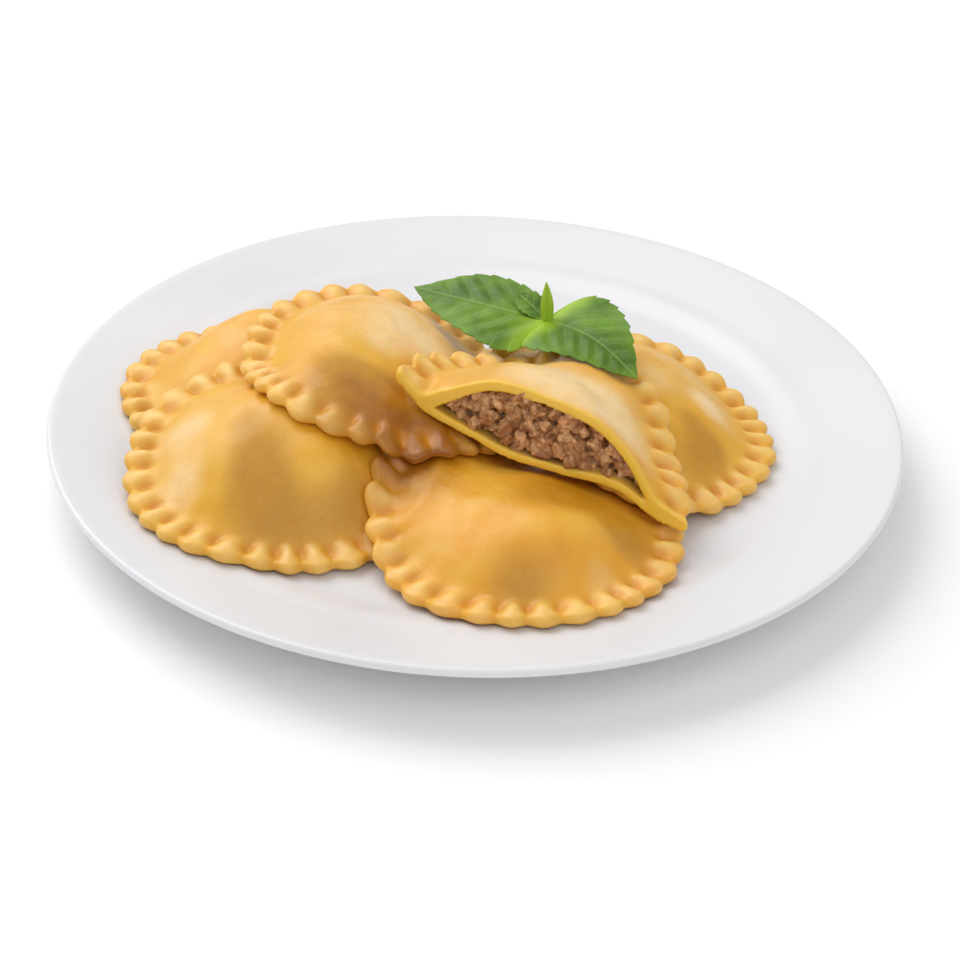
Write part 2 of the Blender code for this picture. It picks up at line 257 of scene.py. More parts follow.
class Grain:
    """Smooth random values from -1 to 1 over the ground plan."""

    def __init__(self, seed):
        self.table = np.random.default_rng(seed).uniform(-1.0, 1.0, (GRAIN_TABLE, GRAIN_TABLE))

    def at(self, x, y, size):
        """The value where the random points lie a size apart."""
        across, along = np.asarray(x) / size, np.asarray(y) / size
        column, row = np.floor(across).astype(int), np.floor(along).astype(int)
        u, v = ease(across - column), ease(along - row)
        low_left, low_right, high_left, high_right = (
            self.table[(row + up) % GRAIN_TABLE, (column + over) % GRAIN_TABLE]
            for up in (0, 1) for over in (0, 1))
        low = low_left + (low_right - low_left) * u
        high = high_left + (high_right - high_left) * u
        return low + (high - low) * v

    def layered(self, x, y, size, layers):
        """Several sizes together, each half as large and half as strong as the last."""
        total = 0.0
        for layer in range(layers):
            share = 0.5 ** layer
            total = total + share * self.at(x + layer * size, y - layer * size, size * share)
        return total


class Ravioli:
    """A round filled pasta: an outline with flutes, a dome, and a lie over what is below."""

    def __init__(self, name, centre, radii, turn, flutes, lie, dome, below, seed, slope=(0, 0),
                 peak=(0, 0), roundness=2.0, dents=(), bumps=(), tones=(), curls=(), warmth=0.5):
        """Lie and slope set the plane of the underside; below holds the ravioli it lies on.

        A dent is a direction in plan, a depth (less than 0 for a bulge) and a width in degrees,
        and a curl a direction, a rise of the edge and a width. A bump is a place from the centre,
        a size and a height, and a tone a place, a size and a strength, paler above 0 as a painted
        highlight and deeper below, where the filling shows through or shade is painted in crevices
        and under the pieces above. Warmth is how far the dough's gold leans to orange, from 0 to 1.
        """
        self.name = name
        self.centre = np.array(centre) * MM
        self.radii = np.array(radii) * MM
        self.peak = np.array(peak) * MM
        self.turn = math.radians(turn)
        self.lie = lie * MM
        self.dome = dome * MM
        self.flutes, self.slope, self.below, self.roundness = flutes, slope, below, roundness
        self.dents, self.bumps, self.curls = dents, bumps, curls
        self.tones, self.warmth = tones, warmth
        self.seed, self.grain = seed, Grain(seed)
        self.cover_map = None

    def outline(self, angle):
        """Mean radius of the edge at an angle, without the flutes."""
        power = self.roundness
        across = np.abs(np.cos(angle) / self.radii[0]) ** power
        along = np.abs(np.sin(angle) / self.radii[1]) ** power
        return self.by_direction((across + along) ** (-1.0 / power), angle, self.dents, -MM)

    def by_direction(self, value, angle, changes, unit):
        """A value changed softly by direction: each change has one, so many units and a width."""
        for direction, amount, width in changes:
            off = angle + self.turn - math.radians(direction)
            near = spot(np.arctan2(np.sin(off), np.cos(off)), math.radians(width))
            value = value + amount * unit * near
        return value

    def by_place(self, value, x, y, changes, unit):
        """A value changed softly by place: each change has one, a size and so many units."""
        for off_x, off_y, size, amount in changes:
            distance = np.hypot(x - self.centre[0] - off_x * MM, y - self.centre[1] - off_y * MM)
            value = value + amount * unit * spot(distance, size * MM)
        return value

    def lobe(self, angle):
        """1 on the crest of a flute, 0 in the groove between two; the flutes are uneven."""
        slow, quick = WANDER_WAVES
        wander = np.sin(slow * angle + self.seed) + np.sin(quick * angle + 2.0 * self.seed)
        return np.abs(np.cos(0.5 * self.flutes * angle + FLUTE_WANDER * wander)) ** RIDGE_POWER

    def vigour(self, angle):
        """How strongly the flutes are pressed, around the edge."""
        (slow, strong), (quick, weak) = VIGOUR_WAVES
        return (1.0 + strong * np.sin(slow * angle + self.seed)
                + weak * np.sin(quick * angle + 3.0 * self.seed))

    def foot(self, angle):
        """Radius at which the dome ends and the crimped border starts."""
        return self.outline(angle) - CRIMP_WIDTH

    def brim(self, angle):
        """Radius to which the filling reaches."""
        return self.foot(angle) - DOUGH

    def edge(self, angle):
        """Radius of the fluted edge."""
        return self.outline(angle) + SCALLOP_DEPTH * (self.lobe(angle) - SCALLOP_INSIDE)

    def plan(self, angle, radius):
        """Ground plan position of a polar point."""
        turned = angle + self.turn
        return self.centre[0] + radius * np.cos(turned), self.centre[1] + radius * np.sin(turned)

    def polar(self, x, y):
        """Angle and radius of a ground plan position."""
        dx = x - self.centre[0]
        dy = y - self.centre[1]
        return np.arctan2(dy, dx) - self.turn, np.hypot(dx, dy)

    def across_band(self, angle, radius):
        """0 at the dome's foot to 1 at the edge of the crimped border; less than 0 on the dome."""
        return np.minimum((radius - self.foot(angle)) / CRIMP_WIDTH, 1.0)

    def ridge(self, angle, radius):
        """0 to 1: how far a point stands up on a flute."""
        band = self.across_band(angle, radius)
        rise = ease((band + RIDGE_START) / RIDGE_RISE)
        drop = RIDGE_DROP * ease((band - RIDGE_DROP_FROM) / RIDGE_DROP_LENGTH)
        return self.lobe(angle) * rise * (1.0 - drop)

    def pit(self, angle, radius):
        """0 to 1: how deep a point lies in the dimple between two flutes."""
        away = np.abs(self.across_band(angle, radius) - PIT_PLACE) / PIT_LENGTH
        return (1.0 - self.lobe(angle)) * ease(1.0 - away)

    def fillet(self, angle, radius):
        """Height of the soft rise by which the border runs up into the dome."""
        band = self.across_band(angle, radius)
        out = (1.0 - np.clip(band / FILLET_OUT, 0.0, 1.0)) ** 2
        return FILLET_HEIGHT * out * spot(np.maximum(-band, 0.0) * CRIMP_WIDTH, FILLET_IN)

    def curl(self, x, y):
        """Height by which the border turns up at its edge."""
        angle, radius = self.polar(x, y)
        outwards = np.clip(self.across_band(angle, radius) + CURL_START, 0.0, 1.0 + CURL_START)
        return self.by_direction(0.0, angle, self.curls, MM) * outwards ** 2

    def dome_height(self, angle, radius, inset=0.0):
        """Height of the dome above the crimped border; inset makes the space for the filling."""
        foot = self.foot(angle) - inset
        share = np.clip(radius / foot, 0.0, 1.0)
        pull = 1.0 - share ** 2
        off_x = radius * np.cos(angle) - self.peak[0] * pull
        off_y = radius * np.sin(angle) - self.peak[1] * pull
        share = np.clip(np.hypot(off_x, off_y) / foot, 0.0, 1.0)
        return (self.dome - inset) * (1.0 - share ** DOME_POWER) ** DOME_EASE

    def swell(self, x, y):
        """The dome's broad unevenness, which fades out at its foot."""
        angle, radius = self.polar(x, y)
        fullness = ease(SWELL_FADE * (1.0 - radius / self.foot(angle)))
        rise = SWELL_HEIGHT * self.grain.layered(x, y, SWELL_SIZE, GRAIN_LAYERS)
        return fullness * self.by_place(rise, x, y, self.bumps, MM)

    def rest(self, x, y):
        """Height of whatever lies below."""
        height = plate_top(np.hypot(x, y)) + PLATE_GAP
        for piece in self.below:
            height = smooth_max(height, piece.cover_at(x, y) + CONTACT_GAP, DRAPE_SOFTNESS)
        return height

    def level(self, x, y):
        """Height of the plane in which the ravioli would lie if nothing pushed it up."""
        return self.lie + self.slope[0] * (x - self.centre[0]) + self.slope[1] * (y - self.centre[1])

    def bottom(self, x, y):
        """Height of the underside."""
        return smooth_max(self.level(x, y), self.rest(x, y), DRAPE_SOFTNESS) + self.curl(x, y)

    def tone(self, x, y):
        """Paler above 0, a painted highlight; deeper below 0, where the filling shows through the dough or
        shade is painted in crevices and under the pieces above.
        """
        return self.by_place(np.zeros_like(x), x, y, self.tones, 1.0)

    def squeeze(self, x, y):
        """How far the soft filling gives way over a bump below, instead of lifting the dome."""
        fullness = self.dome_height(*self.polar(x, y)) / self.dome
        return SQUEEZE * fullness * (self.bottom(x, y) - self.level(x, y))

    def upper_side(self, x, y, relief, *rises):
        """Height of the upper side, with the relief of its border and all that rises from it."""
        angle, radius = self.polar(x, y)
        rise = CRIMP_THICKNESS + relief + self.fillet(angle, radius) + self.dome_height(angle, radius)
        for more in rises:
            rise = rise + more
        return self.bottom(x, y) + rise + self.swell(x, y) - self.squeeze(x, y)

    def cover(self, x, y):
        """Height of the upper side as another ravioli feels it: every flute as high as a crest."""
        angle, radius = self.polar(x, y)
        crest = RIDGE_HEIGHT * ease((self.across_band(angle, radius) + RIDGE_START) / RIDGE_RISE)
        outside = np.maximum(radius - self.outline(angle), 0.0)
        return self.upper_side(x, y, crest, -EDGE_SLOPE * outside)

    def cover_at(self, x, y):
        """The cover, read between the points of a fine map of it that is made once."""
        if self.cover_map is None:
            ticks = np.arange(-MAP_REACH, MAP_REACH + MAP_STEP, MAP_STEP)
            self.cover_map = self.cover(*np.meshgrid(ticks, ticks))
        last = len(self.cover_map) - 2
        column, row = (np.clip((np.asarray(place) + MAP_REACH) / MAP_STEP, 0.0, last)
                       for place in (x, y))
        left, low = column.astype(int), row.astype(int)
        u, v = column - left, row - low
        near = self.cover_map[low, left] * (1.0 - u) + self.cover_map[low, left + 1] * u
        far = self.cover_map[low + 1, left] * (1.0 - u) + self.cover_map[low + 1, left + 1] * u
        return near * (1.0 - v) + far * v

    def top(self, x, y):
        """Height of the upper side with its flutes, dimples and creases."""
        angle, radius = self.polar(x, y)
        vigour = self.vigour(angle)
        relief = vigour * (RIDGE_HEIGHT * self.ridge(angle, radius) - PIT_DEPTH * self.pit(angle, radius))
        inside = np.maximum(self.foot(angle) - radius, 0.0)
        pucker = PUCKER_DEPTH * (1.0 - self.lobe(angle)) * spot(inside, PUCKER_REACH)
        pucker = pucker * ease(inside / PUCKER_REACH)
        slanted = CREASE_SLANT * (y - x)
        crease = CREASE_HEIGHT * self.grain.layered(x + y, slanted, CREASE_SIZE, GRAIN_LAYERS)
        return self.upper_side(x, y, relief, -pucker, crease)


def lie_of_the_heap():
    """The six ravioli in millimetres and degrees, each after the ones it lies on; the last is cut."""
    # Tones above 0 are painted highlights; below 0 they are the filling showing through the dough and
    # painted shade, the lowest ones painted shade in crevices and under the pieces above.
    back_left = Ravioli(
        "ravioli_back_left", centre=(-53, 10), radii=(38, 36), turn=10, flutes=29, lie=8.5,
        dome=16.0, peak=(-2, 8), below=[], seed=1,
        bumps=((-13, 2, 7, -0.8), (0, 14, 12, 2.0)),
        tones=((-20, -2, 9, -0.3), (-13, 4, 9, 0.3), (-28, -6, 6, 0.3)))
    left = Ravioli(
        "ravioli_left", centre=(-46, -31), radii=(38, 35), turn=0, flutes=30, lie=14.5,
        slope=(-0.02, 0.21), dome=15.0, peak=(1, -2), below=[back_left], roundness=2.3, seed=2,
        bumps=((-20, -6, 9, 1.5), (12, -10, 8, 1.0), (-5, -12, 9, -1.0)),
        tones=((-22, -14, 7, 0.6), (-23, 2, 8, 0.6), (-9, 4, 9, -0.1), (9, -13, 7, 0.6),
               (-4, -14, 10, -0.6), (2, -24, 14, -0.5), (18, -17, 10, -0.6), (-8, -2, 6, -0.3)),
        warmth=0.2)
    front = Ravioli(
        "ravioli_front", centre=(12.5, -49), radii=(37.5, 37.5), turn=4, flutes=29, lie=8.5,
        dome=13.5, peak=(0, -5), below=[left], seed=3,
        bumps=((14, 4, 13, -1.6), (6, -12, 9, 0.8), (-18, -12, 8, 0.8), (0, -24, 8, -0.8)),
        tones=((-17, -13, 7, 0.15), (5, -12, 7, 0.45), (14, -9, 6, 0.4), (17, -21, 8, 0.4),
               (-1, -27, 9, -0.65), (-14, 0, 9, -0.15), (8, -2, 12, -0.9), (24, -8, 9, -0.7),
               # (-30, 14) is painted shade in the crevice under the upper ravioli's rim.
               (-30, 14, 11, -2.2), (9, -19, 5, -0.3)),
        warmth=0.9)
    upper = Ravioli(
        "ravioli_upper", centre=(-21.5, -4.5), radii=(36.5, 39), turn=20, flutes=30, lie=20.0,
        slope=(-0.26, 0.11), dome=14.5, peak=(-2, 5), below=[back_left, left, front],
        dents=((275, 4, 24), (310, 4, 28), (95, -4.5, 35)), seed=4,
        bumps=((0, 8, 10, 0.8), (-8, -14, 10, -0.6)),
        tones=((0, 9, 12, 0.5), (-3, -4, 6, 0.4), (8, 2, 8, 0.45), (-16, 6, 8, 0.1),
               # The last two tones are painted shade under the cut ravioli.
               (-9, -16, 9, -0.7), (-6, -28, 13, -1.0), (11, -29, 13, -1.7)))
    right = Ravioli(
        "ravioli_right", centre=(39.5, -5), radii=(36, 41), turn=-10, flutes=30, lie=12.5,
        slope=(-0.19, 0.1), dome=14.0, peak=(-2, 2), below=[front, upper], roundness=1.7,
        dents=((235, 9, 32), (147, -6.5, 28)), seed=5,
        bumps=((19, 3, 6, 1.3), (11, -1, 6, -0.9), (20, -14, 7, -0.6), (4, 4, 7, 0.8)),
        tones=((18, 4, 5, 0.5), (20, 0, 5, 0.4), (5, 3, 7, 0.4), (26, -9, 6, 0.3),
               (19, -11, 7, -0.7), (13, -5, 4, -0.4), (15, -20, 8, -0.4)),
        warmth=0.3)
    cut = Ravioli(
        "cut_ravioli_pasta", centre=(16.5, -33), radii=(37.5, 37), turn=-19, flutes=30, lie=21.3,
        slope=(-0.2, 0.12), dome=17.0, below=[front, upper, right],
        dents=((8, 4.5, 26), (-30, -1.5, 14)), seed=6, curls=((160, 3.0, 14),),
        tones=((5, 8, 12, 0.6), (14, 5, 9, 0.6), (-6, 9, 9, 0.3), (22, -2, 7, 0.3)))
    return back_left, left, front, upper, right, cut


class Shell:
    """Vertices and faces of a closed surface that is made of rings around an axis."""

    def __init__(self):
        self.points = []
        self.faces = []

    def add(self, x, y, z):
        """A ring of points; its place in the list of points comes back."""
        start = len(self.points)
        self.points.extend(zip(np.ravel(x), np.ravel(y), np.ravel(z)))
        return range(start, len(self.points))

    def join(self, outer, inner):
        """Faces from a ring to one of the same number of points, or of half as many."""
        count = len(inner)
        for k in range(count):
            after = (k + 1) % count
            if len(outer) == count:
                self.faces.append((outer[k], outer[after], inner[after], inner[k]))
                continue
            middle, far = outer[2 * k + 1], outer[2 * after]
            self.faces += [(outer[2 * k], middle, inner[k]), (middle, inner[after], inner[k]),
                           (middle, far, inner[after])]

    def close(self, ring, place):
        """A fan from a ring to a point."""
        tip = len(self.points)
        self.points.append(place)
        for k in range(len(ring)):
            self.faces.append((ring[k], ring[(k + 1) % len(ring)], tip))

    def chain(self, rings, place):
        """Faces from each ring to the next, and from the last to a point."""
        for outer, inner in zip(rings, rings[1:]):
            self.join(outer, inner)
        self.close(rings[-1], place)


def shade_smooth(data):
    """Shade every face of a mesh smooth."""
    data.polygons.foreach_set("use_smooth", [True] * len(data.polygons))


def skinned(name, points, faces):
    """A finished object of points and faces."""
    data = bpy.data.meshes.new(name)
    data.from_pydata([tuple(map(float, point)) for point in points], [], faces)
    mesh = bmesh.new()
    mesh.from_mesh(data)
    bpy.data.meshes.remove(data)
    return finished(name, mesh)


def finished(name, mesh):
    """A linked object of a bmesh, with its faces turned outwards and shaded smooth."""
    bmesh.ops.recalc_face_normals(mesh, faces=mesh.faces[:])
    data = bpy.data.meshes.new(name)
    mesh.to_mesh(data)
    mesh.free()
    shade_smooth(data)
    thing = bpy.data.objects.new(name, data)
    bpy.context.scene.collection.objects.link(thing)
    return thing


def ring_counts(finest, shares):
    """How many points each ring has: half as many wherever the radius has halved."""
    return [finest // 2 ** (1 + sum(share <= limit for limit in HALVINGS)) for share in shares]


def ravioli_shell(name, piece):
    """Closed surface of a whole ravioli: wall of the edge, crimped border, dome and underside."""
    shell = Shell()
    coarsest = piece.flutes * POINTS_PER_FLUTE // 2 ** (len(HALVINGS) + 1)
    full = around_axis(coarsest * 2 ** (len(HALVINGS) + 1))
    shoulder = piece.edge(full) - EDGE_ROUND

    def ring(around, radius, height_of):
        x, y = piece.plan(around, radius)
        return shell.add(x, y, height_of(x, y))

    def wall_ring(turn):
        top = piece.top(*piece.plan(full, shoulder))
        low = piece.bottom(*piece.plan(full, shoulder))
        x, y = piece.plan(full, shoulder + EDGE_ROUND * math.cos(turn))
        return shell.add(x, y, 0.5 * (top + low) + 0.5 * (top - low) * math.sin(turn))

    def rings_inwards(side, bands, steps, height_of):
        rings = [wall_ring(side * 0.5 * math.pi * step / WALL_RINGS) for step in range(1, WALL_RINGS)]
        for share in (step / bands for step in range(bands, 0, -1)):
            rings.append(ring(full, piece.foot(full) * (1.0 - share) + shoulder * share, height_of))
        shares = [1.0 - step / steps for step in range(steps)]
        for share, count in zip(shares, ring_counts(len(full), shares)):
            around = around_axis(count)
            rings.append(ring(around, share * piece.foot(around), height_of))
        return rings

    middle = wall_ring(0.0)
    above = rings_inwards(1.0, BAND_RINGS, DOME_RINGS, piece.top)
    below = rings_inwards(-1.0, 1, UNDER_RINGS, piece.bottom)
    x, y = piece.plan(0.0, 0.0)
    shell.chain([middle] + above, (x, y, float(piece.top(x, y))))
    shell.chain([middle] + below, (x, y, float(piece.bottom(x, y))))
    return skinned(name, shell.points, shell.faces)


def hollow_shell(name, piece, gap, steps):
    """Closed surface of the space inside the dough, a gap smaller all round, in so many rings."""
    shell = Shell()
    around = around_axis(HOLLOW_SIDES)
    brim = piece.brim(around)
    shares = [1.0 - step / steps for step in range(1, steps)]

    def ring(share, over):
        x, y = piece.plan(around, share * brim)
        z = piece.bottom(x, y) + DOUGH + gap
        if over:
            rise = piece.dome_height(around, share * brim, DOUGH) - piece.squeeze(x, y)
            z = z + np.maximum(rise + piece.swell(x, y) - 2.0 * gap, LEAST_ROOM * gap)
        return shell.add(x, y, z)

    edge = ring(1.0 - gap / MM * EDGE_DRAW, False)
    for over in (False, True):
        x, y = piece.plan(0.0, 0.0)
        z = float(piece.bottom(x, y)) + DOUGH + gap
        if over:
            z += float(piece.dome_height(0.0, 0.0, DOUGH) - piece.squeeze(x, y)) - 2.0 * gap
        shell.chain([edge] + [ring(share, over) for share in shares], (x, y, z))
    return skinned(name, shell.points, shell.faces)


def cut_frame(piece):
    """Where the cut face lies: x along it, y out of it, z up along its lean."""
    x, y = piece.centre
    place = Matrix.Translation((x, y, piece.lie)) @ Matrix.Rotation(piece.turn, 4, "Z")
    near = Matrix.Translation((0.0, -CUT_OFFSET, 0.0)) @ Matrix.Rotation(-CUT_LEAN, 4, "X")
    return place @ near


def moved(matrix, x, y, z):
    """Positions after a matrix has moved them."""
    return (np.stack([x, y, z, np.ones_like(x)], axis=-1) @ np.array(matrix).T)[:, :3].T


def distance_behind_cut(piece, x, y, z):
    """How far behind the plane of the cut each point lies."""
    return moved(cut_frame(piece).inverted(), x, y, z)[1]


def cutting_box(piece):
    """The box that takes away the near half, its face leaning back from the chord."""
    mesh = bmesh.new()
    bmesh.ops.create_cube(mesh, size=CUTTER_SIZE)
    thing = finished("near_half", mesh)
    thing.matrix_world = cut_frame(piece) @ Matrix.Translation((0.0, -0.5 * CUTTER_SIZE, 0.0))
    return thing


def apply_modifiers(thing):
    """Put the result of an object's modifiers into its mesh."""
    bpy.context.view_layer.update()
    graph = bpy.context.evaluated_depsgraph_get()
    data = bpy.data.meshes.new_from_object(thing.evaluated_get(graph))
    thing.modifiers.clear()
    thing.data = data
    shade_smooth(data)


def modify(thing, kind, **settings):
    """Add a modifier with its settings."""
    modifier = thing.modifiers.new(kind, kind)
    for name, value in settings.items():
        setattr(modifier, name, value)


def coordinates(thing):
    """The mesh's points as an array."""
    flat = np.zeros(len(thing.data.vertices) * 3)
    thing.data.vertices.foreach_get("co", flat)
    return flat.reshape(-1, 3)


def write_attributes(thing, **values):
    """Named values, each one number or one for each point, which the material reads."""
    for name, value in values.items():
        attribute = thing.data.attributes.new(name, "FLOAT", "POINT")
        value = np.broadcast_to(np.asarray(value, np.float32), len(thing.data.vertices))
        attribute.data.foreach_set("value", np.ascontiguousarray(value))


def mark_pasta(thing, piece):
    """Write where the ridges and the dimples are, which the material paints with highlight and shade, and
    the tone: paler or deeper by painted light and shade and by the filling showing through.
    """
    x, y, z = coordinates(thing).T
    angle, radius = piece.polar(x, y)
    over = ease((z - piece.bottom(x, y)) / MARK_FADE)
    write_attributes(thing, ridge=over * piece.ridge(angle, radius), pit=over * piece.pit(angle, radius),
                     tone=over * piece.tone(x, y))


def mark_cut(thing, piece):
    """Write where the dough is sliced, and where the lower sheet is stained by the filling."""
    x, y, z = coordinates(thing).T
    angle, radius = piece.polar(x, y)
    sliced = 1.0 - ease(distance_behind_cut(piece, x, y, z) / CUT_DEPTH)
    above = z - piece.bottom(x, y)
    stained = (radius < piece.brim(angle) + STAIN_PAST_BRIM) & (above < STAIN_HEIGHT) & (above > STAIN_FROM)
    write_attributes(thing, cut=sliced, stain=stained * (1.0 - sliced))


def cut_ravioli(name, piece):
    """The half ravioli: its skin, hollowed, cut and softened along the cut."""
    thing = ravioli_shell(name, piece)
    hollow = hollow_shell("hollow", piece, 0.0, HOLLOW_RINGS)
    half = cutting_box(piece)
    for cutter in (hollow, half):
        modify(thing, "BOOLEAN", operation="DIFFERENCE", solver="EXACT", object=cutter)
    modify(thing, "REMESH", mode="VOXEL", voxel_size=CUT_VOXEL)
    modify(thing, "SMOOTH", factor=CUT_SMOOTH_SHARE, iterations=CUT_SMOOTH)
    apply_modifiers(thing)
    bpy.data.objects.remove(hollow)
    bpy.data.objects.remove(half)
    mark_cut(thing, piece)
    return thing


def crumb_places(piece, rng):
    """Points on the cut face of the filling, a crumb apart, unevenly, and their sizes."""
    steps = int(float(max(piece.radii)) / CRUMB_SPACING)
    column, row = np.meshgrid(np.arange(-steps, steps + 1), np.arange(*CRUMB_ROWS), indexing="ij")
    column, row = column.ravel(), row.ravel()
    jitter = rng.uniform(-0.5, 0.5, (2, column.size))
    size = rng.uniform(*CRUMB_SIZES, column.size)
    along = (column + 0.5 * (row % 2) + jitter[0]) * CRUMB_SPACING
    back = rng.uniform(*CRUMB_DEPTHS, column.size) * size
    x, y, z = moved(cut_frame(piece), along, back, (row + jitter[1]) * CRUMB_SPACING)
    angle, radius = piece.polar(x, y)
    low = piece.bottom(x, y) + DOUGH
    high = low + piece.dome_height(angle, radius, DOUGH) - piece.squeeze(x, y) + piece.swell(x, y)
    margin = CRUMB_INSET * size + CRUMB_MARGIN
    kept = np.clip(z, low + margin, high - margin)
    fits = (radius < piece.brim(angle)) & (high - low > 2.0 * margin) & (np.abs(kept - z) < margin)
    return np.stack([x, y, kept], axis=-1)[fits], size[fits]


def minced_filling(name, piece):
    """The filling as a skin over a core and the crumbs that show at the cut."""
    rng = np.random.default_rng(CRUMB_SEED)
    mesh = bmesh.new()
    core = hollow_shell("core", piece, CORE_GAP, CORE_RINGS)
    mesh.from_mesh(core.data)
    frame = cut_frame(piece)
    face = frame @ Vector((0.0, CORE_BACK, 0.0))
    out = frame.to_3x3() @ Vector((0.0, -1.0, 0.0))
    cut = bmesh.ops.bisect_plane(mesh, geom=mesh.verts[:] + mesh.edges[:] + mesh.faces[:],
                                 plane_co=face, plane_no=out, clear_outer=True)
    edges = [part for part in cut["geom_cut"] if isinstance(part, bmesh.types.BMEdge)]
    bmesh.ops.edgeloop_fill(mesh, edges=edges)
    for place, size in zip(*crumb_places(piece, rng)):
        stretch = Matrix.Diagonal((*(size * rng.uniform(*CRUMB_SHAPES, 3)), 1.0))
        turn = Matrix.Rotation(rng.uniform(0.0, math.pi), 4, Vector(rng.normal(size=3)).normalized())
        bmesh.ops.create_icosphere(mesh, subdivisions=2, radius=1.0,
                                   matrix=Matrix.Translation(Vector(place)) @ turn @ stretch)
    bpy.data.objects.remove(core)
    thing = finished(name, mesh)
    modify(thing, "REMESH", mode="VOXEL", voxel_size=MEAT_VOXEL)
    apply_modifiers(thing)
    roughen(thing)
    # How far behind the cut each point lies; the material paints shade in the gaps by it.
    back = distance_behind_cut(piece, *coordinates(thing).T)
    write_attributes(thing, deep=ease(back / (2.0 * CORE_BACK)))
    return thing


def roughen(thing):
    """Push the mesh's points in and out by smooth noise, as torn meat is uneven."""
    places = coordinates(thing)
    normals = np.zeros(places.size)
    thing.data.vertices.foreach_get("normal", normals)
    rise = [sum(height * noise.noise(Vector(place) / size) for size, height in MEAT_ROUGHNESS)
            for place in places]
    places += normals.reshape(-1, 3) * np.array(rise)[:, None]
    thing.data.vertices.foreach_set("co", places.ravel())
    thing.data.update()


def flange_under(radius):
    """Height of the flange's underside, which comes nearer to the upper side towards the rim."""
    nearer = float(ease((radius - LIP_RADIUS) / (PLATE_RADIUS - RIM_ROUND - LIP_RADIUS)))
    return (float(plate_top(radius)) - FLANGE_THICKNESS
            + (FLANGE_THICKNESS - 2.0 * RIM_ROUND) * nearer)


def plate_profile():
    """Radii and heights from the middle of the upper side round the rim to the middle below."""
    rim = PLATE_RADIUS - RIM_ROUND
    slope = (PLATE_HEIGHT - LIP_HEIGHT) / (PLATE_RADIUS - LIP_RADIUS)
    rim_middle = PLATE_HEIGHT - RIM_ROUND * (1.0 + slope)
    well_under = WELL_HEIGHT - WELL_THICKNESS
    upper = [(radius, float(plate_top(radius)))
             for radius in np.linspace(MIDDLE_RADIUS, rim, UPPER_STEPS)]
    round_rim = [(rim + RIM_ROUND * math.sin(turn), rim_middle + RIM_ROUND * math.cos(turn))
                 for turn in np.linspace(*RIM_TURNS, RIM_STEPS)]
    flange = [(radius, flange_under(radius))
              for radius in np.linspace(rim - RIM_INSET, LIP_RADIUS, FLANGE_STEPS)]

    def flare(radius, length, shares, steps):
        return [(radius + length * share, well_under * float(ease(share)))
                for share in np.linspace(*shares, steps)]

    foot_base = [(FOOT_OUTER_RADIUS, FOOT_ROUND * 0.5), (FOOT_OUTER_RADIUS - FOOT_ROUND, 0.0),
                 (FOOT_INNER_RADIUS + FOOT_ROUND, 0.0), (FOOT_INNER_RADIUS, FOOT_ROUND * 0.5)]
    foot_out = flare(FOOT_OUTER_RADIUS, FOOT_FLARE_OUT, FOOT_OUT_SHARES, FLARE_STEPS[0])
    foot_in = flare(FOOT_INNER_RADIUS, -FOOT_FLARE_IN, FOOT_IN_SHARES, FLARE_STEPS[1])
    middle = [(radius, well_under)
              for radius in np.linspace(UNDER_RADIUS, MIDDLE_RADIUS, UNDER_STEPS)]
    return upper + round_rim + flange + foot_out + foot_base + foot_in + middle


def turned_plate(name):
    """The plate, turned from its profile."""
    shell = Shell()
    around = around_axis(PLATE_SIDES)
    rings = [shell.add(radius * np.cos(around), radius * np.sin(around), np.full(PLATE_SIDES, height))
             for radius, height in plate_profile()]
    shell.close(rings[0], (0.0, 0.0, WELL_HEIGHT))
    shell.chain(rings, (0.0, 0.0, WELL_HEIGHT - WELL_THICKNESS))
    return skinned(name, shell.points, shell.faces)


